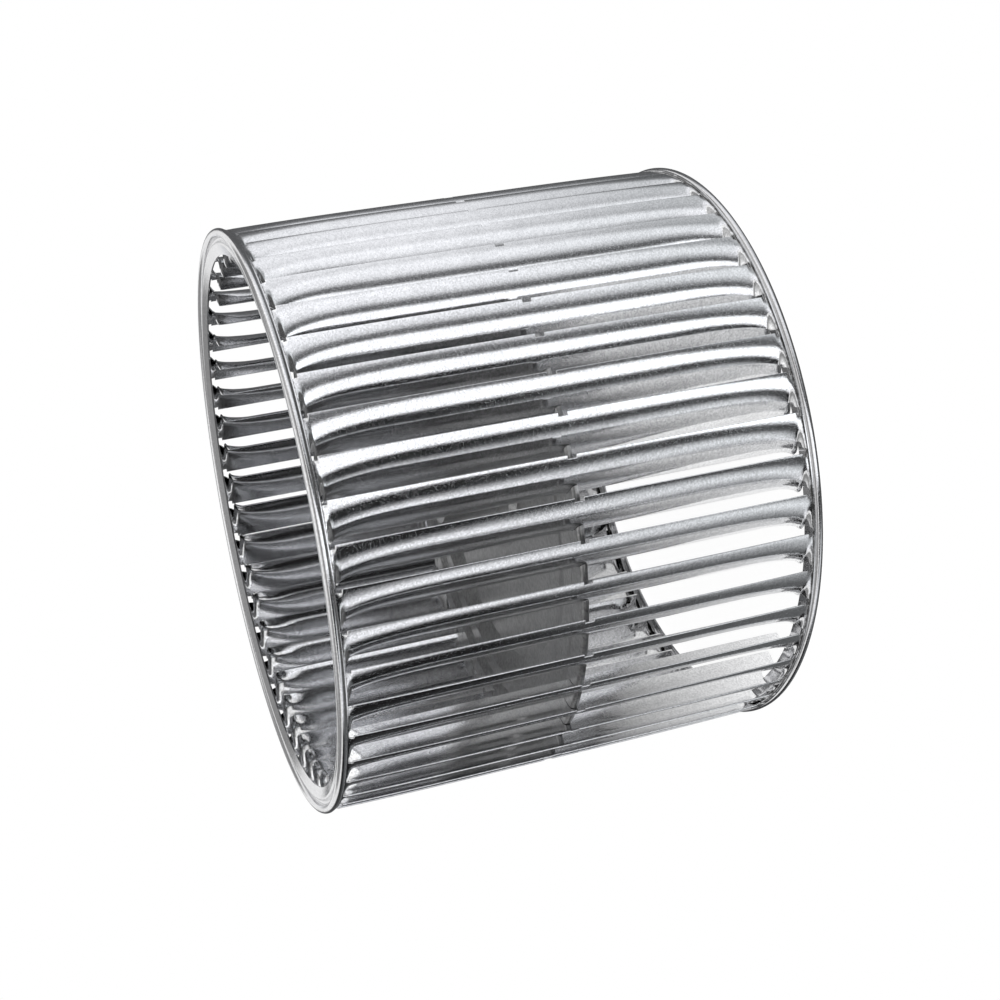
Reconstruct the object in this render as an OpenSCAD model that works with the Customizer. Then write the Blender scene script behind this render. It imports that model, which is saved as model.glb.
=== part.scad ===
// Double-inlet blower wheel: a strip of forward-curved blades held between two
// end rings and carried by a pressed centre disc with a bored hub.
// The wheel stands on one end ring, its axis on +Z and its origin under the middle.

/* [Wheel] */
// Outside diameter over the end rings
wheel_d = 254; // [220:1:300]
// Overall width, from the crest of one end ring to the crest of the other
wheel_w = 203; // [150:1:260]

/* [Blade strip] */
// Number of blades round the wheel
blade_count = 48; // [44:1:52]
// Thickness of the blade sheet
blade_t = 0.6; // [0.5:0.05:0.8]
// Radial depth of the blades
blade_depth = 14.6; // [12:0.1:16]
// Lean of the sheet from the radial line at its inner edge, in degrees
lean_in = 10; // [0:1:20]
// Lean of the sheet from the radial line at its tip, in degrees
lean_tip = 87; // [75:1:90]
// How far the tips lie inside the outside diameter
tip_inset = 0.3; // [0.1:0.1:0.8]
// Height of the plain margin that the end ring grips
margin_h = 2.9; // [2.6:0.1:3.1]
// Width of the margin that shows below the end ring's wall
margin_show = 0.3; // [0.2:0.1:1.5]
// Width of the neck that joins a blade to the margin
neck_w = 14.6; // [12:0.1:15]
// Length over which the neck is pressed half open, beside the margin
press_len = 2.6; // [2.4:0.1:4]
// Length over which the tip then settles into the full blade's curve
settle_len = 60; // [40:1:80]
// Share of that length by which the inner edge settles sooner
settle_taper = 0.95; // [0.9:0.01:0.97]
// Gap between the margin and the blade's square corners
corner_gap = 1.9; // [1.5:0.1:3]
// Depth of the staking notch in each tip, beside the centre disc
notch_depth = 1.5; // [1:0.1:2]
// Length of the staking notch
notch_len = 3.6; // [3:0.1:6]

/* [End rings] */
// Thickness of the ring sheet
ring_t = 0.8; // [0.6:0.05:1]
// Straight length of the ring's outer wall, past its bead
wall_h = 0.3; // [0.2:0.1:2]
// Radial depth of the ring's end face
ring_depth = 11.2; // [10:0.1:14]
// Outer radius of the rolled bead on the ring's corner
bead_r = 1.9; // [1.8:0.05:2]
// Radius of the groove beside the bead
groove_r = 0.9; // [0.6:0.05:1.1]
// Outer radius of the lip beside the groove
lip_r = 0.95; // [0.9:0.05:1.2]
// How far the face's inner edge is dished below the bead's crest
face_dish = 2.4; // [2:0.1:4]
// Width of the flat land on the bead's crest
land_w = 0.5; // [0.3:0.1:1]

/* [Centre disc] */
// Thickness of the disc sheet
disc_t = 1.2; // [1:0.1:1.6]
// How far the rim reaches outwards between the blades
slot_depth = 7.6; // [5:0.1:9]
// Height of the lip turned down round the rim
rim_lip_h = 2.6; // [2.2:0.1:4]
// Distance from the blades in to the middle of the rim's step
rim_step_in = 6; // [5:0.1:9]
// Drop of that step
rim_step_h = 1.8; // [1:0.1:2.5]
// Distance from the blades in to the middle of the long dish
dish_in = 24; // [19:0.5:40]
// Drop of the dish
dish_h = 3.2; // [2:0.1:5]
// Radius of the raised seat under the hub, at the middle of its step
seat_r = 29; // [24:0.5:40]
// Height of the raised seat
seat_h = 2.4; // [1.5:0.1:4]

/* [Hub] */
// Bore for the motor shaft
bore_d = 12.7; // [10:0.1:16]
// Outside diameter of the hub
hub_d = 29; // [26:0.5:36]
// Length of the hub above the disc
hub_len = 25; // [22:0.5:35]
// Diameter of the spigot that is staked into the disc
spigot_d = 22; // [19:0.5:24]
// Height of the staked rim below the disc
stake_h = 1.6; // [1:0.1:2.5]
// How far the staked rim spreads past the spigot
stake_lap = 1.6; // [1:0.1:2.5]

/* [Set screw] */
// Outside diameter of the set screw
screw_d = 7.9; // [6:0.1:9.5]
// Width across the flats of its socket
socket_af = 4; // [3:0.1:4.2]
// Height of the set screw above the hub's seat
screw_h = 15; // [12:0.5:16]
// How far the screw stands out of the hub
screw_proud = 2.2; // [0.5:0.1:4]

/* [Fit] */
// Clearance between crimped or slotted sheets
sheet_gap = 0.12; // [0.08:0.01:0.2]
// Clearance between the hub and the parts in it
hub_gap = 0.05; // [0.02:0.01:0.1]

/* [Hidden] */
$fn = 96;
wheel_r = wheel_d / 2;

// Section of the end ring, in radius from the axis and height from the crest
land_turn = asin(land_w / 2 / bead_r);
bead_at = [wheel_r - bead_r, bead_r * cos(land_turn)];
wall_turn = 50;
wall_fillet = 0.5;
wall_out_r = bead_at.x + (bead_r + wall_fillet) * cos(wall_turn) - wall_fillet;
ring_h = bead_at.y + (bead_r + wall_fillet) * sin(wall_turn) + wall_h;
groove_at = [bead_at.x - bead_r - groove_r, bead_at.y];
lip_at = [groove_at.x - groove_r - lip_r, bead_at.y];
face_edge = [wheel_r - ring_depth, face_dish];
face_turn = asin(lip_r / norm(lip_at - face_edge)) - atan2(lip_at.y - face_edge.y, lip_at.x - face_edge.x);

// Blade arc: the inner end lies on the X axis and the tip leans towards +Y
margin_r = wall_out_r - ring_t - sheet_gap - blade_t / 2;
margin_h0 = ring_h + margin_show - margin_h;
tip_r = wheel_r - tip_inset - blade_t / 2;
blade_in_r = tip_r - blade_depth;
chord_lean = (lean_in + lean_tip) / 2;
chord = sqrt(tip_r * tip_r - pow(blade_in_r * sin(chord_lean), 2)) - blade_in_r * cos(chord_lean);
arc_r = chord / (2 * sin((lean_tip - lean_in) / 2));
arc_len = arc_r * (lean_tip - lean_in) * PI / 180;
pitch = 360 / blade_count;

// Grid of the blade sheet: columns as shares of its width from the tip, rows as heights
neck_share = neck_w / arc_len;
notch_share = notch_depth / arc_len;
neck_columns = 4;
neck_step = (neck_share - notch_share) / (neck_columns - 1);
blade_step = (1 - neck_share) / 2;
columns = concat([0], [for (i = [0 : neck_columns - 1]) notch_share + i * neck_step],
                 [neck_share + blade_step, 1]);
neck_end = margin_h0 + margin_h;
half_rows = [margin_h0, neck_end, neck_end + corner_gap, neck_end + settle_len / 4,
             (wheel_w - notch_len) / 2];
rows = concat(half_rows, [for (i = [len(half_rows) - 1 : -1 : 0]) wheel_w - half_rows[i]]);
last_row = len(rows) - 2;
notch_row = len(half_rows) - 1;

// Centre disc and hub
disc_z = wheel_w / 2;
rim_r = blade_in_r + slot_depth;
rim_bend = 1.8;
rim_step_r = blade_in_r - rim_step_in;
rim_step_run = 6;
dish_r = blade_in_r - dish_in;
dish_run = 13;
seat_run = 4;
hole_r = spigot_d / 2 + hub_gap;
seat_z = disc_z - rim_step_h - dish_h + seat_h;
screw_z = seat_z + screw_h;
// Room between the set screw's point and the bore
point_gap = 0.6;
// How far a cutting solid runs past what it cuts
cut = 1;
// The straight facets of a blade lie this far inside its arc
facet_sag = arc_r * (1 - cos((lean_tip - lean_in) * max(neck_step, blade_step) / 2));

// Points along an arc, after its first point, a step of at most 12 degrees apart
function arc_points(at, r, from_a, to_a) = let (steps = ceil(abs(to_a - from_a) / 12))
    [for (i = [1 : steps]) let (a = from_a + (to_a - from_a) * i / steps) at + r * [cos(a), sin(a)]];
function on_circle(at, r, a) = at + r * [cos(a), sin(a)];

// Smooth rise from 0 to 1
function ease(x) = x <= 0 ? 0 : x >= 1 ? 1 : x * x * (3 - 2 * x);
// Rise from 0 to 1 that slows all the way
function settle(x) = x <= 0 ? 0 : x >= 1 ? 1 : x * (2 - x);
// Point turned about the axis
function turned(p, a) = [p.x * cos(a) - p.y * sin(a), p.x * sin(a) + p.y * cos(a)];

// Middle of the sheet on the full blade, and its normal towards the hollow side
function blade_point(s) = let (a = lean_tip + (lean_in - lean_tip) * s)
    [blade_in_r + arc_r * (sin(a) - sin(lean_in)), arc_r * (cos(lean_in) - cos(a))];
function blade_normal(s) = let (a = lean_tip + (lean_in - lean_tip) * s) [-sin(a), cos(a)];
tip_angle = atan2(blade_point(0).y, blade_point(0).x);
// Angle on the flat margin that a share of the sheet's width comes from
function flat_angle(s) = tip_angle - s * arc_len / margin_r * 180 / PI;
// How far the sheet has opened at a share of its width and a distance from the margin
function opened(s, d) = (ease(d / press_len) + settle(d / (settle_len * (1 - settle_taper * s)))) / 2;
function sheet_point(s, d) = let (w = opened(s, d), f = flat_angle(s))
    (1 - w) * margin_r * [cos(f), sin(f)] + w * blade_point(s);
function sheet_normal(s, d) = let (w = opened(s, d), f = flat_angle(s),
    n = (w - 1) * [cos(f), sin(f)] + w * blade_normal(s)) n / norm(n);

// The strip is one sheet: a grid of cells round the wheel, some of them punched away
function height_from_margin(z) = min(z, wheel_w - z) - neck_end;
function is_margin(j) = j == 0 || j == last_row;
function is_cut_corner(i, j) = i >= neck_columns && (j <= 1 || j >= last_row - 1);
function is_relief(i, j) = i == 0 && (j == 1 || j == last_row - 1);
function is_notch(i, j) = i == 0 && j == notch_row;
function has_cell(i, j) = i >= 0 && i < len(columns) - 1 && j >= 0 && j <= last_row
    && !is_cut_corner(i, j) && !is_relief(i, j) && !is_notch(i, j);
function vertex(k, i, j, side) =
    (((k + blade_count) % blade_count) * len(columns) + i) * len(rows) * 2 + j * 2 + side;
// Two triangles on either side of one cell, split along the same diagonal and pointing outwards
function cell_faces(k0, i0, k1, i1, j) = [
    [vertex(k0, i0, j, 0), vertex(k1, i1, j, 0), vertex(k1, i1, j + 1, 0)],
    [vertex(k0, i0, j, 0), vertex(k1, i1, j + 1, 0), vertex(k0, i0, j + 1, 0)],
    [vertex(k0, i0, j, 1), vertex(k0, i0, j + 1, 1), vertex(k1, i1, j + 1, 1)],
    [vertex(k0, i0, j, 1), vertex(k1, i1, j + 1, 1), vertex(k1, i1, j, 1)]];
// Edge wall from one grid corner to the next
function edge_face(k0, i0, j0, k1, i1, j1) =
    [vertex(k0, i0, j0, 0), vertex(k1, i1, j1, 0), vertex(k1, i1, j1, 1), vertex(k0, i0, j0, 1)];

// Unit normal on the left of the line from a to b
function left_normal(a, b) = [a.y - b.y, b.x - a.x] / norm(b - a);

// Sheet whose visible face follows the path, with its thickness on the path's left
module sheet_along(path, thickness) {
    normals = [for (i = [0 : len(path) - 2]) left_normal(path[i], path[i + 1])];
    back = [for (i = [len(path) - 1 : -1 : 0])
        let (a = normals[max(i - 1, 0)], b = normals[min(i, len(normals) - 1)])
        path[i] + thickness * (a + b) / (1 + a * b)];
    polygon(concat(path, back));
}

// Ring section, from the inner edge of its face to the free edge of its wall
module ring_section() {
    fillet_at = on_circle(bead_at, bead_r + wall_fillet, wall_turn);
    sheet_along(concat(
        [face_edge, on_circle(lip_at, lip_r, -90 - face_turn)],
        arc_points(lip_at, lip_r, -90 - face_turn, 0),
        arc_points(groove_at, groove_r, 180, 0),
        arc_points(bead_at, bead_r, -180, -90 - land_turn),
        [on_circle(bead_at, bead_r, -90 + land_turn)],
        arc_points(bead_at, bead_r, -90 + land_turn, wall_turn),
        arc_points(fillet_at, wall_fillet, 180 + wall_turn, 180),
        [[wall_out_r, ring_h]]), ring_t);
}

module end_ring() {
    rotate_extrude() ring_section();
}

module bottom_end_ring() {
    color("gainsboro") end_ring();
}

module top_end_ring() {
    color("gainsboro") translate([0, 0, wheel_w]) mirror([0, 0, 1]) end_ring();
}

module blade_strip() {
    points = [for (k = [0 : blade_count - 1], i = [0 : len(columns) - 1],
                   j = [0 : len(rows) - 1], side = [0, 1])
        let (s = columns[i], d = height_from_margin(rows[j]),
             p = sheet_point(s, d) + (side - 0.5) * blade_t * sheet_normal(s, d),
             q = turned(p, k * pitch))
        [q.x, q.y, rows[j]]];
    cells = [for (k = [0 : blade_count - 1], i = [0 : len(columns) - 2], j = [0 : last_row])
        if (has_cell(i, j)) each cell_faces(k, i, k, i + 1, j)];
    tip_edges = [for (k = [0 : blade_count - 1], i = [0 : len(columns) - 2], j = [0 : last_row])
        if (has_cell(i, j) && !has_cell(i - 1, j) && !(i == 0 && is_margin(j)))
            edge_face(k, i, j, k, i, j + 1)];
    inner_edges = [for (k = [0 : blade_count - 1], i = [0 : len(columns) - 2], j = [0 : last_row])
        if (has_cell(i, j) && !has_cell(i + 1, j) && !is_margin(j))
            edge_face(k, i + 1, j + 1, k, i + 1, j)];
    low_edges = [for (k = [0 : blade_count - 1], i = [0 : len(columns) - 2], j = [0 : last_row])
        if (has_cell(i, j) && !has_cell(i, j - 1)) edge_face(k, i + 1, j, k, i, j)];
    high_edges = [for (k = [0 : blade_count - 1], i = [0 : len(columns) - 2], j = [0 : last_row])
        if (has_cell(i, j) && !has_cell(i, j + 1)) edge_face(k, i, j + 1, k, i + 1, j + 1)];
    links = [for (k = [0 : blade_count - 1], j = [0, last_row])
        each cell_faces(k, neck_columns, k - 1, 0, j)];
    link_edges = [for (k = [0 : blade_count - 1], j = [0, last_row])
        each [edge_face(k - 1, 0, j, k, neck_columns, j),
              edge_face(k, neck_columns, j + 1, k - 1, 0, j + 1)]];
    color("silver") polyhedron(points,
        concat(cells, tip_edges, inner_edges, low_edges, high_edges, links, link_edges));
}

// Disc section: a turned-down lip at the rim, a step, a long dish and a raised hub seat
module disc_section() {
    low_z = -rim_step_h - dish_h;
    sheet_along(concat(
        [[rim_r, -rim_lip_h], [rim_r, -rim_bend]],
        arc_points([rim_r - rim_bend, -rim_bend], rim_bend, 0, 90),
        [[rim_step_r + rim_step_run / 2, 0], [rim_step_r - rim_step_run / 2, -rim_step_h],
         [dish_r + dish_run / 2, -rim_step_h], [dish_r - dish_run / 2, low_z],
         [seat_r + seat_run / 2, low_z], [seat_r - seat_run / 2, low_z + seat_h],
         [hole_r, low_z + seat_h]]), disc_t);
}

// Band along a blade's arc, wider than its sheet by the clearance all round
module blade_slot() {
    slack = sheet_gap / arc_r * 180 / PI;
    arc_at = [blade_in_r, 0] + arc_r * [-sin(lean_in), cos(lean_in)];
    first_a = lean_in - slack - 90;
    last_a = lean_tip - 90;
    intersection() {
        translate(arc_at) difference() {
            circle(r = arc_r + blade_t / 2 + sheet_gap);
            circle(r = arc_r - blade_t / 2 - sheet_gap - facet_sag);
        }
        polygon(concat([arc_at], [for (a = [first_a, (first_a + last_a) / 2, last_a])
            on_circle(arc_at, 2 * arc_r, a)]));
    }
}

module centre_disc() {
    color("darkgray") difference() {
        translate([0, 0, disc_z]) rotate_extrude() disc_section();
        for (k = [0 : blade_count - 1])
            translate([0, 0, disc_z - rim_lip_h - cut]) rotate(k * pitch)
                linear_extrude(height = rim_lip_h + 2 * cut) blade_slot();
    }
}

module hub() {
    color("dimgray") difference() {
        translate([0, 0, seat_z]) union() {
            cylinder(d = hub_d, h = hub_len);
            translate([0, 0, -disc_t]) cylinder(d = spigot_d, h = disc_t);
            translate([0, 0, -disc_t - stake_h]) cylinder(d = spigot_d + 2 * stake_lap, h = stake_h);
        }
        translate([0, 0, seat_z - disc_t - stake_h - cut])
            cylinder(d = bore_d, h = hub_len + disc_t + stake_h + 2 * cut);
        translate([0, 0, screw_z]) rotate([0, 90, 0]) cylinder(d = screw_d + 2 * hub_gap, h = hub_d);
    }
}

module set_screw() {
    tip_x = bore_d / 2 + point_gap;
    head_x = hub_d / 2 + screw_proud;
    color("black") translate([0, 0, screw_z]) rotate([0, 90, 0]) difference() {
        union() {
            translate([0, 0, tip_x]) cylinder(r1 = screw_d / 4, r2 = screw_d / 2, h = screw_d / 4);
            translate([0, 0, tip_x + screw_d / 4]) cylinder(d = screw_d, h = head_x - tip_x - screw_d / 4);
        }
        translate([0, 0, head_x - screw_d / 2]) cylinder(d = socket_af / cos(30), h = screw_d, $fn = 6);
    }
}

top_end_ring();
bottom_end_ring();
blade_strip();
centre_disc();
hub();
set_screw();
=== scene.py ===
"""Looks of the double-inlet blower wheel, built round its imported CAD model.

The wheel stands on its lower end ring, with its axis on +Z. Sizes are in millimetres in every class,
and MM turns them into Blender's metres where a mesh is made.
"""

import logging
import math
from dataclasses import dataclass
from enum import Enum
from typing import Callable, Sequence

import bpy
from mathutils import Matrix, Vector

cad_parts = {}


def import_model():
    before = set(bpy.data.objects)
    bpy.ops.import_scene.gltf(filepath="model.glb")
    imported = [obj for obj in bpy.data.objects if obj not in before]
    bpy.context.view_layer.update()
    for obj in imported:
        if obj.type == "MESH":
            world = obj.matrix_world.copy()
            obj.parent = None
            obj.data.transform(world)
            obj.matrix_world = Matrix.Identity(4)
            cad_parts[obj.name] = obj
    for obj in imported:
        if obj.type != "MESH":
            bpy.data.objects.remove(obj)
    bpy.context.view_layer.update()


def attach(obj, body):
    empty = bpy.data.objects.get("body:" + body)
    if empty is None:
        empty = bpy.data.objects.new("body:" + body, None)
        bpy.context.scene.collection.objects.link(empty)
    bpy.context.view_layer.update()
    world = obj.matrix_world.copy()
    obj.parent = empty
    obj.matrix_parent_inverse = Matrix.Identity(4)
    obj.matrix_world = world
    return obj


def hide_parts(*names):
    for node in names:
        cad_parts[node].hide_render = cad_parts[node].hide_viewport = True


log = logging.getLogger("blower_wheel")

MM = 0.001
BODY = "root"
WHEEL_WIDTH = 203.0
WELD = 0.005
Colour = tuple[float, float, float]
Point = tuple[float, float]
Piece = bpy.types.Object


class End(Enum):
    """Which end of the wheel a ring closes: the sign is the way it faces along the axis."""

    UPPER = 1
    LOWER = -1


# Bench: the few operations that every piece is worked with


def clear_selection() -> None:
    """Leaves object mode with nothing selected, so that an operator acts on its own piece alone."""
    if bpy.context.object and bpy.context.object.mode != "OBJECT":
        bpy.ops.object.mode_set(mode="OBJECT")
    bpy.ops.object.select_all(action="DESELECT")


def hold(piece: Piece) -> None:
    """Makes a piece the only one selected, and the active one.

    Args:
        piece: the piece to work on next.
    """
    clear_selection()
    piece.select_set(True)
    bpy.context.view_layer.objects.active = piece


def new_piece(name: str) -> Piece:
    """Names the primitive that was just added.

    Args:
        name: the piece's name, which its mesh takes too.

    Returns:
        The active object.
    """
    piece = bpy.context.object
    piece.name = piece.data.name = name
    return piece


def pick_faces(piece: Piece, wanted: Callable[[Vector], bool]) -> None:
    """Selects the faces whose middles pass a test, and stays in edit mode.

    Args:
        piece: the mesh to select on.
        wanted: says of a face's middle whether it is picked.
    """
    hold(piece)
    bpy.ops.object.mode_set(mode="EDIT")
    bpy.ops.mesh.select_mode(type="FACE")
    bpy.ops.mesh.select_all(action="DESELECT")
    bpy.ops.object.mode_set(mode="OBJECT")
    for face in piece.data.polygons:
        face.select = wanted(face.center)
    bpy.ops.object.mode_set(mode="EDIT")


def apply_modifier(piece: Piece, kind: str, **settings: object) -> None:
    """Adds a modifier and applies it.

    Args:
        piece: the piece to finish.
        kind: Blender's name of the modifier.
        **settings: values set on it before it is applied.
    """
    hold(piece)
    modifier = piece.modifiers.new(kind.lower(), kind)
    for key, value in settings.items():
        setattr(modifier, key, value)
    bpy.ops.object.modifier_apply(modifier=modifier.name)


def join_pieces(pieces: Sequence[Piece], name: str) -> Piece:
    """Joins pieces into one and merges the points that meet.

    Args:
        pieces: what is joined; the first one stays.
        name: the joined piece's name.

    Returns:
        The joined piece.
    """
    hold(pieces[0])
    for piece in pieces:
        piece.select_set(True)
    bpy.ops.object.join()
    whole = new_piece(name)
    bpy.ops.object.mode_set(mode="EDIT")
    bpy.ops.mesh.select_all(action="SELECT")
    bpy.ops.mesh.remove_doubles(threshold=WELD * MM)
    bpy.ops.object.mode_set(mode="OBJECT")
    return whole


def smooth(piece: Piece, degrees: float) -> None:
    """Shades a piece smooth, with edges sharper than an angle left crisp.

    Args:
        piece: the piece to shade.
        degrees: the angle from which an edge stays crisp.
    """
    hold(piece)
    bpy.ops.object.shade_smooth_by_angle(angle=math.radians(degrees))


def copy_round(piece: Piece, count: int) -> list[Piece]:
    """Copies a piece round the wheel's axis, each copy with a mesh of its own.

    Args:
        piece: the first one, which stays where it is.
        count: how many there are in the whole turn.

    Returns:
        All of them, the first one included.
    """
    row = [piece]
    for number in range(1, count):
        hold(piece)
        bpy.ops.object.duplicate(linked=False)
        turned = bpy.context.object
        bpy.ops.transform.rotate(value=math.tau * number / count, orient_axis="Z", center_override=(0, 0, 0))
        bpy.ops.object.transform_apply(location=True, rotation=True, scale=True)
        row.append(turned)
    return row


def arc_points(centre: Point, radius: float, first: float, last: float, step: float = 9) -> list[Point]:
    """Points along an arc, both ends included.

    Args:
        centre: the arc's centre.
        radius: its radius.
        first: the angle that it starts at, in degrees.
        last: the angle that it ends at.
        step: the widest angle between two points.

    Returns:
        The points in order.
    """
    count = max(1, math.ceil(abs(last - first) / step))
    angles = [math.radians(first + (last - first) * i / count) for i in range(count + 1)]
    return [(centre[0] + radius * math.cos(a), centre[1] + radius * math.sin(a)) for a in angles]


def turn_section(name: str, section: Sequence[Point], steps: int) -> Piece:
    """Draws a section point by point in the XZ plane and spins it about the wheel's axis.

    Args:
        name: the new piece's name.
        section: radius and height of each point.
        steps: how many steps make the whole turn.

    Returns:
        The turned skin.
    """
    clear_selection()
    first = section[0]
    bpy.ops.mesh.primitive_plane_add(size=MM, location=(first[0] * MM, 0, first[1] * MM))
    piece = new_piece(name)
    bpy.ops.object.transform_apply(location=True, rotation=True, scale=True)
    bpy.ops.object.mode_set(mode="EDIT")
    bpy.ops.mesh.select_all(action="SELECT")
    bpy.ops.mesh.merge(type="CENTER")
    for here, there in zip(section, section[1:]):
        move = ((there[0] - here[0]) * MM, 0, (there[1] - here[1]) * MM)
        bpy.ops.mesh.extrude_region_move(TRANSFORM_OT_translate={"value": move})
    bpy.ops.mesh.select_all(action="SELECT")
    bpy.ops.mesh.spin(steps=steps, angle=math.tau, center=(0, 0, 0), axis=(0, 0, 1))
    bpy.ops.mesh.select_all(action="SELECT")
    bpy.ops.mesh.remove_doubles(threshold=WELD * MM)
    bpy.ops.mesh.normals_make_consistent(inside=False)
    bpy.ops.object.mode_set(mode="OBJECT")
    return piece


def ease(x: float) -> float:
    """Smooth rise from 0 to 1.

    Args:
        x: how far along the rise it is; what lies outside 0 to 1 counts as the nearer end.

    Returns:
        The height there.
    """
    x = min(max(x, 0.0), 1.0)
    return x * x * (3 - 2 * x)


def settle(x: float) -> float:
    """Rise from 0 to 1 that slows all the way.

    Args:
        x: how far along the rise it is; what lies outside 0 to 1 counts as the nearer end.

    Returns:
        The height there.
    """
    x = min(max(x, 0.0), 1.0)
    return x * (2 - x)


# Shader effects: node groups that several finishes share


class Nodes:
    """A node tree that is filled by name, with the links given beside the values."""

    def __init__(self, tree: bpy.types.NodeTree) -> None:
        """Takes the tree that is filled."""
        self.tree = tree

    def add(self, kind: str, values: dict | None = None, **settings: object) -> bpy.types.Node:
        """Adds one node.

        Args:
            kind: the node's type, without its prefix.
            values: a value or a socket to link for each input, by name or number.
            **settings: the node's own settings.

        Returns:
            The node.
        """
        node = self.tree.nodes.new(kind if kind.startswith("NodeGroup") else f"ShaderNode{kind}")
        for key, value in settings.items():
            setattr(node, key, value)
        for key, value in (values or {}).items():
            if isinstance(value, bpy.types.NodeSocket):
                self.tree.links.new(value, node.inputs[key])
            else:
                node.inputs[key].default_value = value
        return node

    def math(self, operation: str, *terms: object, clamp: bool = False) -> bpy.types.NodeSocket:
        """Adds a Math node over values or sockets, and returns its output."""
        return self.add("Math", dict(enumerate(terms)), operation=operation, use_clamp=clamp).outputs[0]

    def ramp(self, value: bpy.types.NodeSocket,
             stops: Sequence[tuple[float, Sequence[float]]]) -> tuple[bpy.types.NodeSocket, ...]:
        """Adds a colour ramp.

        Args:
            value: what drives it.
            stops: a place and a colour for each stop, with a fourth number where its alpha isn't 1.

        Returns:
            Its colour output and its alpha output.
        """
        node = self.add("ValToRGB", {0: value})
        ramp = node.color_ramp
        ramp.interpolation = "LINEAR"
        while len(ramp.elements) < len(stops):
            ramp.elements.new(0.5)
        for element, (place, colour) in zip(ramp.elements, stops):
            element.position = place
            element.color = (*colour, 1)[:4]
        return tuple(node.outputs)

    def group(self, tree: bpy.types.NodeTree, values: dict) -> bpy.types.Node:
        """Places a shared effect with its own values."""
        return self.add("Group", values, node_tree=tree)


@dataclass(frozen=True)
class Effect:
    """A shared shader effect: a node group with named inputs and outputs."""

    name: str
    inputs: dict[str, float]
    outputs: tuple[str, ...]
    make: Callable[[Nodes, bpy.types.Node, bpy.types.Node], None]

    def tree(self) -> bpy.types.NodeTree:
        """Builds the group once.

        Returns:
            The node group.
        """
        if self.name in bpy.data.node_groups:
            return bpy.data.node_groups[self.name]
        tree = bpy.data.node_groups.new(self.name, "ShaderNodeTree")
        tree.interface.new_socket("Place", in_out="INPUT", socket_type="NodeSocketVector")
        for name, value in self.inputs.items():
            socket = tree.interface.new_socket(name, in_out="INPUT", socket_type="NodeSocketFloat")
            socket.default_value = value
        for name in self.outputs:
            tree.interface.new_socket(name, in_out="OUTPUT", socket_type="NodeSocketFloat")
        nodes = Nodes(tree)
        self.make(nodes, nodes.add("NodeGroupInput"), nodes.add("NodeGroupOutput"))
        return tree


# Zinc crystals: how fine the blotches between them are, and the crystals' share of the tone
BLOTCH_SCALE = 90.0
CRYSTAL_SHARE = 0.6

# Handling marks: how far the strokes are drawn out, and where strokes and patches begin and how fast
# they rise
STROKE_STRETCH = (1.0, 0.35, 0.12)
STROKE_FROM = 0.55
STROKE_GAIN = 7.0
PATCH_SCALE = 26.0
PATCH_FROM = 0.45
PATCH_GAIN = 5.0

# Painted shade at the crimp, where the end rings grip the sheet: how uneven its border is, as shares of its
# reach, and its fading length in millimetres
BORDER_SCALE = 400.0
BORDER_LEAST = 0.8
BORDER_SPREAD = 0.4
BORDER_FADE = 0.8


def make_spangle(nodes: Nodes, given: bpy.types.Node, out: bpy.types.Node) -> None:
    """Zinc crystals: cells of slightly different tone, each tilted its own way.

    Args:
        nodes: the group's tree.
        given: its input node.
        out: its output node.
    """
    cells = nodes.add("TexVoronoi", {"Vector": given.outputs["Place"], "Scale": given.outputs["Scale"]})
    split = nodes.add("SeparateColor", {0: cells.outputs["Color"]})
    blotch = nodes.add("TexNoise", {"Vector": given.outputs["Place"], "Scale": BLOTCH_SCALE, "Detail": 3})
    mixed = nodes.math("MULTIPLY_ADD", split.outputs[0], CRYSTAL_SHARE,
                       nodes.math("MULTIPLY", blotch.outputs["Fac"], 1 - CRYSTAL_SHARE))
    nodes.tree.links.new(mixed, out.inputs["Tone"])
    tilt = nodes.math("MULTIPLY", split.outputs[1], cells.outputs["Distance"])
    nodes.tree.links.new(tilt, out.inputs["Height"])


def make_grain(nodes: Nodes, given: bpy.types.Node, out: bpy.types.Node) -> None:
    """The fine tooth of the zinc skin, with a little dust in it.

    Args:
        nodes: the group's tree.
        given: its input node.
        out: its output node.
    """
    fine = nodes.add("TexNoise", {"Vector": given.outputs["Place"], "Scale": given.outputs["Scale"],
                                  "Detail": 4, "Roughness": 0.65})
    nodes.tree.links.new(fine.outputs["Fac"], out.inputs["Height"])
    nodes.tree.links.new(fine.outputs["Fac"], out.inputs["Tone"])


def make_waves(nodes: Nodes, given: bpy.types.Node, out: bpy.types.Node) -> None:
    """The long shallow waves that pressing leaves in thin sheet.

    Args:
        nodes: the group's tree.
        given: its input node.
        out: its output node.
    """
    wide = nodes.add("TexNoise", {"Vector": given.outputs["Place"], "Scale": given.outputs["Scale"],
                                  "Detail": 1})
    nodes.tree.links.new(wide.outputs["Fac"], out.inputs["Height"])


def make_scuffs(nodes: Nodes, given: bpy.types.Node, out: bpy.types.Node) -> None:
    """Handling marks: fine strokes, gathered in patches.

    Args:
        nodes: the group's tree.
        given: its input node.
        out: its output node.
    """
    stretched = nodes.add("Mapping", {"Vector": given.outputs["Place"], "Scale": STROKE_STRETCH})
    strokes = nodes.add("TexNoise", {"Vector": stretched.outputs[0], "Scale": given.outputs["Scale"],
                                     "Detail": 5, "Roughness": 0.7})
    patches = nodes.add("TexNoise", {"Vector": given.outputs["Place"], "Scale": PATCH_SCALE, "Detail": 2})
    sharp = nodes.math("MULTIPLY", nodes.math("SUBTRACT", strokes.outputs["Fac"], STROKE_FROM, clamp=True),
                       STROKE_GAIN, clamp=True)
    where = nodes.math("MULTIPLY", nodes.math("SUBTRACT", patches.outputs["Fac"], PATCH_FROM, clamp=True),
                       PATCH_GAIN, clamp=True)
    nodes.tree.links.new(nodes.math("MULTIPLY", sharp, where), out.inputs["Mask"])


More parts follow.
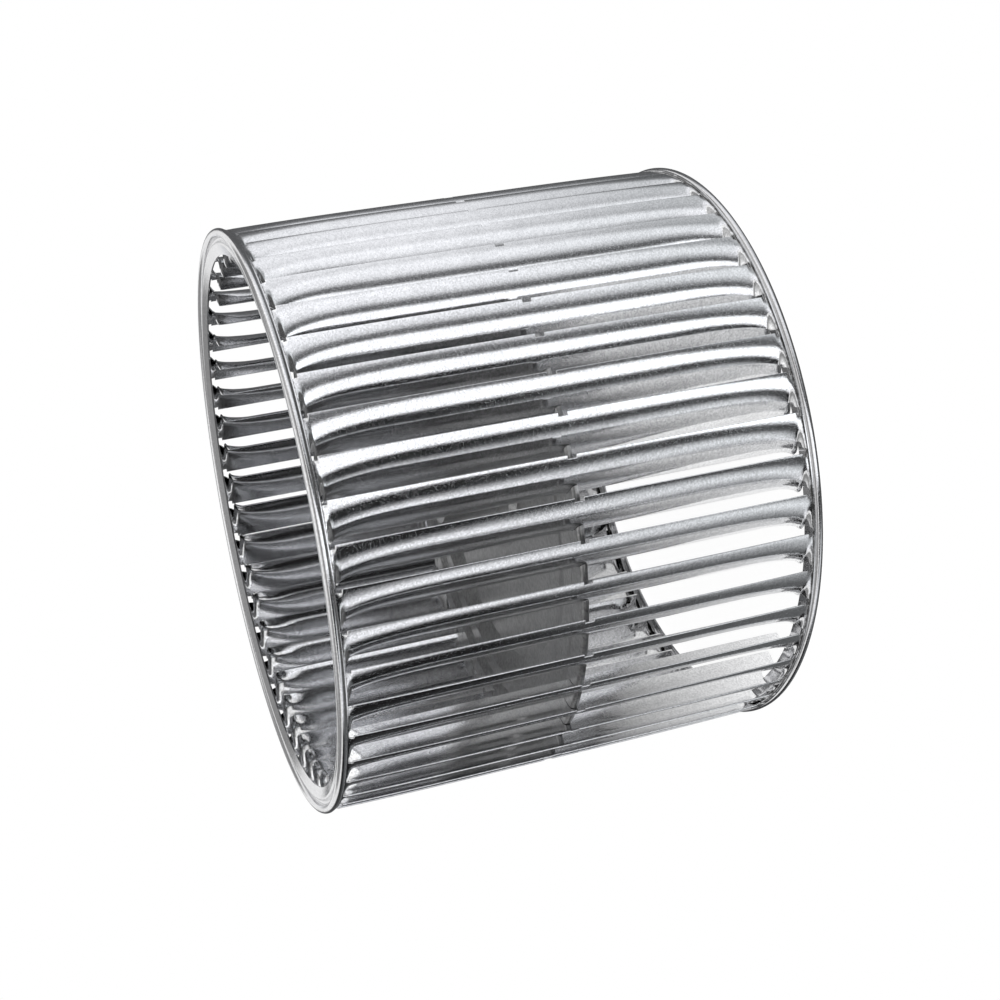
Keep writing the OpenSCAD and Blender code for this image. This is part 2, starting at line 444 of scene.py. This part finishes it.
def make_crimp_shade(nodes: Nodes, given: bpy.types.Node, out: bpy.types.Node) -> None:
    """Painted shade where the end rings grip the sheet: a dark band near each end of the wheel, with an
    uneven border.

    Args:
        nodes: the group's tree.
        given: its input node.
        out: its output node.
    """
    height = nodes.add("SeparateXYZ", {0: given.outputs["Place"]}).outputs["Z"]
    from_end = nodes.math("SUBTRACT", WHEEL_WIDTH / 2 * MM,
                          nodes.math("ABSOLUTE", nodes.math("SUBTRACT", height, WHEEL_WIDTH / 2 * MM)))
    blotch = nodes.add("TexNoise", {"Vector": given.outputs["Place"], "Scale": BORDER_SCALE, "Detail": 2})
    border = nodes.math("MULTIPLY", given.outputs["Reach"],
                        nodes.math("MULTIPLY_ADD", blotch.outputs["Fac"], BORDER_SPREAD, BORDER_LEAST))
    share = nodes.math("DIVIDE", nodes.math("SUBTRACT", border, from_end), BORDER_FADE * MM, clamp=True)
    nodes.tree.links.new(share, out.inputs["Mask"])


SPANGLE = Effect("zinc_spangle", {"Scale": 900.0}, ("Tone", "Height"), make_spangle)
GRAIN = Effect("zinc_grain", {"Scale": 2500.0}, ("Tone", "Height"), make_grain)
WAVES = Effect("sheet_waves", {"Scale": 40.0}, ("Height",), make_waves)
SCUFFS = Effect("handling_scuffs", {"Scale": 900.0}, ("Mask",), make_scuffs)
# The crimp effect masks painted shade: a dark band near each end of the blade sheet, where the end rings grip
# it.
CRIMP_SHADE = Effect("crimp_painted_shade", {"Reach": 0.004}, ("Mask",), make_crimp_shade)


@dataclass(frozen=True)
class SheetFinish:
    """Galvanised sheet steel: zinc crystals, a fine tooth, shallow waves and handling marks."""

    name: str
    light: Colour = (0.9, 0.902, 0.91)
    dark: Colour = (0.67, 0.674, 0.682)
    roughness: float = 0.08
    rough_spread: float = 0.04
    spangle: float = 0.6
    spangle_height: float = 0.012
    grain: float = 0.4
    grain_height: float = 0.009
    wave: float = 22.0
    wave_height: float = 0.08
    grain_share: float = 0.4
    dark_below: float = 0.27
    light_above: float = 0.69
    scuff_rough: float = 0.12
    # Painted shade at the crimp: how far from each end the sheet is darkened, and the dark colour painted
    # there.
    crimp_shade_reach: float = 0.0
    crimp_shade_colour: Colour = (0.12, 0.12, 0.115)

    def material(self) -> bpy.types.Material:
        """Builds the material.

        Returns:
            The finished material.
        """
        material = bpy.data.materials.new(self.name)
        material.use_nodes = True
        material.node_tree.nodes.clear()
        nodes = Nodes(material.node_tree)
        place = nodes.add("TexCoord").outputs["Object"]
        spangle = nodes.group(SPANGLE.tree(), {"Place": place, "Scale": 1 / (self.spangle * MM)})
        grain = nodes.group(GRAIN.tree(), {"Place": place, "Scale": 1 / (self.grain * MM)})
        waves = nodes.group(WAVES.tree(), {"Place": place, "Scale": 1 / (self.wave * MM)})
        scuffs = nodes.group(SCUFFS.tree(), {"Place": place})
        tone = nodes.math("MULTIPLY_ADD", grain.outputs["Tone"], self.grain_share,
                          nodes.math("MULTIPLY", spangle.outputs["Tone"], 1 - self.grain_share))
        colour = nodes.ramp(tone, ((self.dark_below, self.dark), (self.light_above, self.light)))[0]
        # Painted shade: near each end of the wheel the colour is mixed towards the dark crimp colour.
        if self.crimp_shade_reach:
            crimp_shade_node = nodes.group(CRIMP_SHADE.tree(), {"Place": place, "Reach": self.crimp_shade_reach * MM})
            colour = nodes.add("MixRGB", {0: crimp_shade_node.outputs["Mask"], 1: colour, 2: (*self.crimp_shade_colour, 1)}).outputs[0]
        rough = nodes.math("MULTIPLY_ADD", spangle.outputs["Tone"], self.rough_spread,
                           self.roughness - self.rough_spread / 2)
        rough = nodes.math("MULTIPLY_ADD", scuffs.outputs["Mask"], self.scuff_rough, rough)
        height = nodes.math("MULTIPLY", spangle.outputs["Height"], self.spangle_height * MM)
        height = nodes.math("MULTIPLY_ADD", grain.outputs["Height"], self.grain_height * MM, height)
        height = nodes.math("MULTIPLY_ADD", waves.outputs["Height"], self.wave_height * MM, height)
        bump = nodes.add("Bump", {"Height": height, "Distance": 1.0, "Strength": 1.0})
        shader = nodes.add("BsdfPrincipled", {"Base Color": colour, "Roughness": rough, "Metallic": 1.0,
                                              "Normal": bump.outputs[0]})
        nodes.add("OutputMaterial", {"Surface": shader.outputs[0]})
        return material


# The blade sheet has painted shade within 4.8 mm of each end, where the end rings grip it.
BLADE_SHEET = SheetFinish("blade_sheet_zinc", crimp_shade_reach=4.8)
# The centre disc is the same zinc sheet painted far darker: painted shade for its place deep inside the
# wheel.
DISC_SHADED_SHEET = SheetFinish("disc_zinc_painted_shade", light=(0.38, 0.38, 0.38), dark=(0.22, 0.22, 0.22), roughness=0.3,
                         spangle=1.2, spangle_height=0.015, wave_height=0.02)
RING_SHEET = SheetFinish("end_ring_zinc", light=(0.82, 0.82, 0.83), dark=(0.68, 0.68, 0.69), wave_height=0.05)
SHEARED_EDGE = SheetFinish("sheared_edge", light=(0.95, 0.95, 0.96), dark=(0.8, 0.8, 0.82), roughness=0.3)
HUB_STEEL = SheetFinish("hub_turned_zinc", light=(0.6, 0.6, 0.6), dark=(0.45, 0.45, 0.45), roughness=0.3)
SCREW_STEEL = SheetFinish("screw_black_oxide", light=(0.09, 0.09, 0.095), dark=(0.05, 0.05, 0.05),
                          roughness=0.4)


def dress_node(name: str, material: bpy.types.Material) -> None:
    """Gives a CAD node a better material, with its shape left alone.

    Args:
        name: the node.
        material: its new material.
    """
    for slot in bpy.data.objects[name].material_slots:
        slot.material = material
    log.info("%s: dressed in %s", name, material.name)


# The wheel's pieces


@dataclass
class BladeStrip:
    """The strip of forward-curved blades: one punched, pressed and rolled sheet."""

    width: float = WHEEL_WIDTH
    blades: int = 48
    sheet: float = 0.6
    inner_r: float = 111.8
    tip_r: float = 126.4
    lean_in: float = 10.0
    lean_tip: float = 87.0
    margin_r: float = 124.923
    margin_low: float = 1.422
    margin_top: float = 4.322
    neck_w: float = 14.6
    press_len: float = 2.6
    settle_len: float = 60.0
    settle_taper: float = 0.95
    corner_gap: float = 1.9
    notch_depth: float = 1.5
    notch_len: float = 3.6
    edge_r: float = 0.2
    edge_segments: int = 2
    edge_angle: float = 60.0
    crisp_from: float = 38.0
    relief_rows: tuple[float, ...] = (0.0, 0.6, 1.2)
    neck_rows: tuple[float, ...] = (3.6, 5.0, 6.8, 9.0, 12.0, 16.0, 21.0, 27.0, 34.0, 42.0, 51.0)
    middle_row: float = 77.0
    neck_cells: int = 7
    blade_cells: int = 4
    link_cells: int = 1

    def __post_init__(self) -> None:
        """Works out the blade's arc and the grid that the sheet is divided into."""
        lean = math.radians((self.lean_in + self.lean_tip) / 2)
        chord = (math.sqrt(self.tip_r**2 - (self.inner_r * math.sin(lean)) ** 2)
                 - self.inner_r * math.cos(lean))
        self.arc_r = chord / (2 * math.sin(math.radians(self.lean_tip - self.lean_in) / 2))
        self.arc_len = self.arc_r * math.radians(self.lean_tip - self.lean_in)
        self.pitch = math.tau / self.blades
        tip = self.blade_point(0)
        self.tip_angle = math.atan2(tip[1], tip[0])
        rest = self.arc_len - self.neck_w
        after_notch = self.neck_w - self.notch_depth
        self.columns = ([0.0, self.notch_depth]
                        + [self.notch_depth + after_notch * i / (self.neck_cells - 1)
                           for i in range(1, self.neck_cells)]
                        + [self.neck_w + rest * i / self.blade_cells for i in range(1, self.blade_cells + 1)])
        lift = [*self.relief_rows, self.corner_gap, self.press_len, *self.neck_rows, self.settle_len,
                self.middle_row]
        half = [self.margin_low, *(self.margin_top + d for d in lift), (self.width - self.notch_len) / 2]
        self.rows = half + [self.width - z for z in reversed(half)]

    def blade_point(self, share: float) -> Point:
        """Middle of the sheet on the full blade, at a share of its width from the tip.

        Args:
            share: 0 at the tip, 1 at the inner edge.

        Returns:
            The point's X and Y, for the blade at angle 0.
        """
        a = math.radians(self.lean_tip + (self.lean_in - self.lean_tip) * share)
        low = math.radians(self.lean_in)
        return (self.inner_r + self.arc_r * (math.sin(a) - math.sin(low)),
                self.arc_r * (math.cos(low) - math.cos(a)))

    def pressed(self, along: float, height: float) -> Vector:
        """Where a point of the flat sheet comes to lie when the blade is pressed open.

        Args:
            along: distance from the tip edge across the sheet.
            height: height on the wheel.

        Returns:
            The point, in millimetres.
        """
        share = along / self.arc_len
        lift = min(height, self.width - height) - self.margin_top
        opened = (ease(lift / self.press_len)
                  + settle(lift / (self.settle_len * (1 - self.settle_taper * share)))) / 2
        flat = self.tip_angle - along / self.margin_r
        x, y = self.blade_point(share)
        return Vector(((1 - opened) * self.margin_r * math.cos(flat) + opened * x,
                       (1 - opened) * self.margin_r * math.sin(flat) + opened * y, height))

    def is_punched(self, column: float, row: float) -> bool:
        """Says whether a cell of the blank is cut away, by the middle of the cell in cells.

        Args:
            column: the middle's place across the sheet.
            row: its place up the wheel.

        Returns:
            True where the cell is cut away.
        """
        last = len(self.rows) - 1
        low = 1 + len(self.relief_rows)
        high = last - low
        inner_side = column > self.neck_cells
        past_corner = row < low or row > high
        relief = column < 1 and (1 < row < low or high < row < last - 1)
        notch = column < 1 and abs(row - last / 2) < 0.5
        return (inner_side and past_corner) or relief or notch

    def blank(self, name: str, columns: int, rows: int) -> Piece:
        """A flat grid whose points count the cells: X across the sheet and Y up the wheel.

        Args:
            name: the piece's name.
            columns: cells across.
            rows: cells up.

        Returns:
            The grid.
        """
        clear_selection()
        bpy.ops.mesh.primitive_grid_add(x_subdivisions=columns, y_subdivisions=rows, size=1,
                                        location=(0.5, 0.5, 0))
        bpy.ops.object.transform_apply(location=True)
        piece = new_piece(name)
        piece.data.transform(Matrix.Diagonal((columns, rows, 1, 1)))
        return piece

    def one_blade(self) -> Piece:
        """Punches the blank of one blade and presses it to its curve, with its necks on the margins.

        Returns:
            The blade, in its place on the wheel.
        """
        piece = self.blank("blade", len(self.columns) - 1, len(self.rows) - 1)
        pick_faces(piece, lambda middle: self.is_punched(middle.x, middle.y))
        bpy.ops.mesh.delete(type="FACE")
        bpy.ops.object.mode_set(mode="OBJECT")
        for point in piece.data.vertices:
            spot = self.pressed(self.columns[round(point.co.x)], self.rows[round(point.co.y)])
            point.co = spot * MM
        return piece

    def link(self, low: float, high: float) -> Piece:
        """The plain length of one margin between this neck and the next one.

        Args:
            low: its lower height.
            high: its upper height.

        Returns:
            The link.
        """
        piece = self.blank("margin_link", self.link_cells, 1)
        first = self.tip_angle - self.neck_w / self.margin_r
        last = self.tip_angle - self.pitch
        for point in piece.data.vertices:
            angle = first + (last - first) * round(point.co.x) / self.link_cells
            height = high if point.co.y > 0.5 else low
            point.co = Vector((self.margin_r * math.cos(angle), self.margin_r * math.sin(angle), height)) * MM
        return piece

    def build(self) -> Piece:
        """Builds the whole strip.

        Returns:
            One sheet, with its thickness.
        """
        top = self.width - self.margin_top
        parts = [self.one_blade(), self.link(self.margin_low, self.margin_top),
                 self.link(top, self.width - self.margin_low)]
        cell = join_pieces(parts, "blade_cell")
        strip = join_pieces(copy_round(cell, self.blades), "blade_strip_sheet")
        hold(strip)
        bpy.ops.object.mode_set(mode="EDIT")
        bpy.ops.mesh.select_all(action="SELECT")
        bpy.ops.mesh.normals_make_consistent(inside=False)
        bpy.ops.object.mode_set(mode="OBJECT")
        apply_modifier(strip, "SOLIDIFY", thickness=self.sheet * MM, offset=0.0, material_offset_rim=1)
        apply_modifier(strip, "BEVEL", limit_method="ANGLE", angle_limit=math.radians(self.edge_angle),
                       width=self.edge_r * MM, segments=self.edge_segments)
        smooth(strip, self.crisp_from)
        apply_modifier(strip, "WEIGHTED_NORMAL", keep_sharp=True)
        return strip

    def dress(self, strip: Piece) -> None:
        """Gives the sheet its zinc and its sheared edges, and hands it to the frame.

        Args:
            strip: the built strip.
        """
        strip.data.materials.append(BLADE_SHEET.material())
        strip.data.materials.append(SHEARED_EDGE.material())
        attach(strip, BODY)
        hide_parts("blade_strip")


@dataclass
class EndRing:
    """An end ring rolled from sheet: a bead on its corner, a groove, a lip and a dished face."""

    end: End
    width: float = WHEEL_WIDTH
    outer_r: float = 126.95
    sheet: float = 0.8
    wall_h: float = 4.022
    depth: float = 11.2
    bead_r: float = 1.9
    groove_r: float = 0.9
    lip_r: float = 0.95
    dish: float = 2.4
    land: float = 0.5
    wall_turn: float = 50.0
    wall_fillet: float = 0.5
    face_steps: int = 5
    crisp_from: float = 35.0
    steps: int = 240

    @property
    def name(self) -> str:
        """The CAD node's name."""
        return "top_end_ring" if self.end is End.UPPER else "bottom_end_ring"

    def section(self) -> list[Point]:
        """The visible face of the sheet, from the inner edge to the free edge of the wall.

        Returns:
            Radius and height of each point, for the lower ring.
        """
        land_turn = math.degrees(math.asin(self.land / 2 / self.bead_r))
        bead = (self.outer_r - self.bead_r, self.bead_r * math.cos(math.radians(land_turn)))
        turn = math.radians(self.wall_turn)
        reach = self.bead_r + self.wall_fillet
        fillet = (bead[0] + reach * math.cos(turn), bead[1] + reach * math.sin(turn))
        groove = (bead[0] - self.bead_r - self.groove_r, bead[1])
        lip = (groove[0] - self.groove_r - self.lip_r, bead[1])
        edge = (self.outer_r - self.depth, self.dish)
        run = (lip[0] - edge[0], lip[1] - edge[1])
        face_turn = math.degrees(math.asin(self.lip_r / math.hypot(*run)) - math.atan2(run[1], run[0]))
        face_start = arc_points(lip, self.lip_r, -90 - face_turn, 0)
        start = face_start[0]
        run_in = [(edge[0] + (start[0] - edge[0]) * i / self.face_steps,
                   edge[1] + (start[1] - edge[1]) * i / self.face_steps) for i in range(self.face_steps)]
        return (run_in + face_start
                + arc_points(groove, self.groove_r, 180, 0)[1:]
                + arc_points(bead, self.bead_r, -180, -90 - land_turn)[1:]
                + arc_points(bead, self.bead_r, -90 + land_turn, self.wall_turn)
                + arc_points(fillet, self.wall_fillet, 180 + self.wall_turn, 180)[1:]
                + [(fillet[0] - self.wall_fillet, self.wall_h)])

    def build(self) -> Piece:
        """Builds the ring.

        Returns:
            The ring, in its place at its end of the wheel.
        """
        points = self.section()
        if self.end is End.UPPER:
            points = [(r, self.width - z) for r, z in points]
        ring = turn_section(f"{self.name}_rolled", points, self.steps)
        self.face_out(ring)
        apply_modifier(ring, "SOLIDIFY", thickness=self.sheet * MM, offset=-1.0, use_even_offset=True)
        smooth(ring, self.crisp_from)
        return ring

    def face_out(self, ring: Piece) -> None:
        """Turns the skin so that its visible face points away from the sheet's back.

        Args:
            ring: the turned skin, before it has a thickness.
        """
        widest = max(ring.data.polygons, key=lambda face: math.hypot(face.center.x, face.center.y))
        if widest.normal.x * widest.center.x + widest.normal.y * widest.center.y < 0:
            hold(ring)
            bpy.ops.object.mode_set(mode="EDIT")
            bpy.ops.mesh.select_all(action="SELECT")
            bpy.ops.mesh.flip_normals()
            bpy.ops.object.mode_set(mode="OBJECT")

    def dress(self, ring: Piece) -> None:
        """Gives the ring its zinc and hands it to the frame.

        Args:
            ring: the built ring.
        """
        ring.data.materials.append(RING_SHEET.material())
        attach(ring, BODY)
        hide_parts(self.name)


# The studio


@dataclass(frozen=True)
class SoftBox:
    """A rectangular soft light that faces a point."""

    name: str
    place: tuple[float, float, float]
    size: tuple[float, float]
    power: float

    def hang(self, target: Vector) -> None:
        """Hangs the light and turns it to the target.

        Args:
            target: the point that it faces.
        """
        lamp = bpy.data.lights.new(self.name, "AREA")
        lamp.shape = "RECTANGLE"
        lamp.size, lamp.size_y = self.size
        lamp.energy = self.power
        box = bpy.data.objects.new(self.name, lamp)
        box.location = self.place
        box.rotation_mode = "QUATERNION"
        box.rotation_quaternion = (target - box.location).to_track_quat("-Z", "Y")
        bpy.context.collection.objects.link(box)


@dataclass
class Studio:
    """A pale floor, soft lights, the studio's walls as the metal sees them, and the camera.

    The walls' tones go by the angle round the picture's level line: near_tones, and far_tones for the
    directions whose Z is less than far_from. Each of height_tones is a direction's Z, a tone, and how far
    that tone takes the place of the others.
    """

    eye: tuple[float, float, float] = (-0.028622, -0.727294, 0.310611)
    right: tuple[float, float, float] = (-0.196583, -0.273597, -0.941541)
    up: tuple[float, float, float] = (0.980164, -0.079482, -0.181551)
    lens: float = 60.74
    sensor: float = 36.0
    lamp_target: tuple[float, float, float] = (0.0, 0.0, 0.1)
    floor_r: float = 0.126
    floor_sides: int = 128
    floor_drop: float = 0.0002
    floor_grey: float = 0.2
    floor_seen: float = 0.95
    # The table top's glow as metal sees it: painted light on one side fading to painted shade on the other,
    # from the least glow by its spread.
    floor_painted_light_side: tuple[float, float, float] = (-0.8, -0.6, 0.0)
    floor_least: float = 0.2
    floor_spread: float = 0.85
    room_grey: float = 0.7
    far_from: float = -0.27
    far_gain: float = 7.0
    near_tones: Sequence[Point] = (
        (-180, 0.95), (-172, 0.2), (-150, 0.06), (-108, 0.01), (-92, 0.02), (-88, 0.45), (-80, 1.15),
        (-70, 1.0), (-62, 0.45), (-50, 0.02), (-27, 0.015), (-19, 1.4), (7, 1.4), (14, 0.12), (25, 0.19),
        (34, 0.8), (42, 1.05), (60, 1.2), (72, 0.9), (90, 1.05), (108, 0.95), (116, 0.3), (124, 0.14),
        (156, 0.1), (172, 0.2), (180, 0.95))
    far_tones: Sequence[Point] = (
        (-180, 0.95), (-172, 0.2), (-150, 0.12), (-108, 0.13), (-84, 0.4), (-64, 1.0), (-52, 0.6), (-42, 0.1),
        (-25, 0.06), (-17, 1.6), (6, 1.6), (13, 0.1), (24, 0.13), (36, 0.5), (48, 0.95), (60, 0.95),
        (72, 0.4), (86, 0.55), (106, 0.65), (115, 0.25), (124, 0.14), (156, 0.1), (172, 0.2), (180, 0.95))
    near_tint: Colour = (0.975, 0.985, 1.02)
    far_tint: Colour = (0.96, 0.99, 1.02)
    height_tones: Sequence[tuple[float, float, float]] = (
        (-1, 0.1, 1), (-0.78, 0.1, 1), (-0.62, 0.1, 0), (0.07, 0.95, 0), (0.13, 0.95, 1), (0.33, 0.95, 1),
        (0.42, 0.26, 1), (0.7, 0.34, 1), (1, 1.0, 1))

    def camera(self) -> None:
        """Sets the camera up at the photograph's viewing angle."""
        right, up = Vector(self.right).normalized(), Vector(self.up).normalized()
        back = right.cross(up).normalized()
        data = bpy.data.cameras.new("camera")
        data.lens = self.lens
        data.sensor_width = self.sensor
        camera = bpy.data.objects.new("camera", data)
        camera.matrix_world = Matrix.Translation(self.eye) @ Matrix((right, up, back)).transposed().to_4x4()
        bpy.context.collection.objects.link(camera)
        bpy.context.scene.camera = camera

    def floor(self) -> None:
        """Lays a round table top under the wheel: white to the camera, and to metal a glow with painted light
        on one side fading to painted shade on the other.
        """
        clear_selection()
        bpy.ops.mesh.primitive_circle_add(vertices=self.floor_sides, radius=self.floor_r, fill_type="NGON",
                                          location=(0, 0, -self.floor_drop))
        floor = new_piece("studio_floor")
        material = bpy.data.materials.new("floor_paper")
        material.use_nodes = True
        nodes = Nodes(material.node_tree)
        material.node_tree.nodes.clear()
        camera, shown = ray_masks(nodes)
        place = nodes.add("TexCoord").outputs["Object"]
        # Painted light and shade: the glow that metal sees rises across the table top towards one side.
        side = nodes.add("VectorMath", {0: place, 1: self.floor_painted_light_side}, operation="DOT_PRODUCT")
        across = nodes.math("MULTIPLY_ADD", side.outputs["Value"], 1 / (2 * self.floor_r), 0.5, clamp=True)
        painted_light = nodes.math("MULTIPLY_ADD", across, self.floor_spread, self.floor_least)
        seen = nodes.math("MAXIMUM", nodes.math("MULTIPLY", camera, self.floor_seen),
                          nodes.math("MULTIPLY", shown, painted_light))
        matt = nodes.add("BsdfDiffuse", {"Color": grey(self.floor_grey)})
        glow = nodes.add("Emission", {"Strength": seen})
        both = nodes.add("AddShader", {0: matt.outputs[0], 1: glow.outputs[0]})
        nodes.add("OutputMaterial", {"Surface": both.outputs[0]})
        floor.data.materials.append(material)

    def walls(self) -> None:
        """Paints the world: white to the camera, plain grey to matt things, bright and dim bands to metal."""
        world = bpy.data.worlds.new("studio")
        bpy.context.scene.world = world
        world.use_nodes = True
        world.node_tree.nodes.clear()
        nodes = Nodes(world.node_tree)
        way = nodes.add("TexCoord").outputs["Generated"]
        back = Vector(self.right).cross(Vector(self.up)).normalized()
        over = nodes.add("VectorMath", {0: way, 1: self.up}, operation="DOT_PRODUCT").outputs["Value"]
        front = nodes.add("VectorMath", {0: way, 1: tuple(back)}, operation="DOT_PRODUCT").outputs["Value"]
        turn = nodes.math("MULTIPLY_ADD", nodes.math("ARCTAN2", over, front), 1 / math.tau, 0.5)
        height = nodes.add("SeparateXYZ", {0: way}).outputs["Z"]
        low = nodes.math("MULTIPLY", nodes.math("SUBTRACT", self.far_from, height), self.far_gain, clamp=True)
        level = nodes.ramp(nodes.math("MULTIPLY_ADD", height, 0.5, 0.5),
                           [((z + 1) / 2, grey(tone, share)) for z, tone, share in self.height_tones])
        tone = nodes.add("MixRGB", {0: low, 1: nodes.ramp(turn, stops(self.near_tones, self.near_tint))[0],
                                    2: nodes.ramp(turn, stops(self.far_tones, self.far_tint))[0]}).outputs[0]
        tone = nodes.add("MixRGB", {0: level[1], 1: tone, 2: level[0]}).outputs[0]
        camera, shown = ray_masks(nodes)
        room = nodes.add("MixRGB", {0: shown, 1: grey(self.room_grey), 2: tone}).outputs[0]
        colour = nodes.add("MixRGB", {0: camera, 1: room, 2: grey(1)}).outputs[0]
        ground = nodes.add("Background", {"Color": colour, "Strength": 1.0})
        nodes.add("OutputWorld", {"Surface": ground.outputs[0]})

    def lamps(self) -> None:
        """Hangs the soft lights."""
        for box in (
            SoftBox("key_box", (0.9, -0.35, 0.55), (0.9, 0.7), 0.5),
            SoftBox("top_box", (0.1, 0.1, 1.2), (1.0, 1.0), 0.5),
        ):
            box.hang(Vector(self.lamp_target))

    def build(self) -> None:
        """Builds all of the studio."""
        self.camera()
        self.floor()
        self.walls()
        self.lamps()
        bpy.context.scene.view_settings.view_transform = "Standard"


def grey(tone: float, alpha: float = 1.0) -> tuple[float, float, float, float]:
    """A grey of one tone, as a colour with its alpha."""
    return (tone, tone, tone, alpha)


def ray_masks(nodes: Nodes) -> tuple[bpy.types.NodeSocket, bpy.types.NodeSocket]:
    """Adds Light Path's masks, by which a backdrop shows white to the camera and in metal.

    Args:
        nodes: the tree that they are added to.

    Returns:
        The mask of camera rays, and the mask of glossy and transmitted ones.
    """
    path = nodes.add("LightPath").outputs
    return path["Is Camera Ray"], nodes.math("MAXIMUM", path["Is Glossy Ray"], path["Is Transmission Ray"])


def stops(tones: Sequence[Point], tint: Colour) -> list[tuple[float, Colour]]:
    """Turns tones by angle into the stops of a colour ramp.

    Args:
        tones: an angle round the picture's level line, from -180 behind by way of below, the camera's
            side and above to 180 behind again, with the tone that the metal sees there.
        tint: the colour that the tones lean to.

    Returns:
        The ramp's stops.
    """
    return [((degrees + 180) / 360, tuple(tone * part for part in tint)) for degrees, tone in tones]


def main() -> None:
    """Builds the studio and the wheel's pieces in order."""
    logging.basicConfig(level=logging.INFO, format="%(name)s: %(message)s")
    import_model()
    Studio().build()
    for maker in (EndRing(End.UPPER), EndRing(End.LOWER), BladeStrip()):
        piece = maker.build()
        maker.dress(piece)
        log.info("%s: %d faces", piece.name, len(piece.data.polygons))
    dress_node("centre_disc", DISC_SHADED_SHEET.material())
    dress_node("hub", HUB_STEEL.material())
    dress_node("set_screw", SCREW_STEEL.material())


if __name__ == "__main__":
    main()
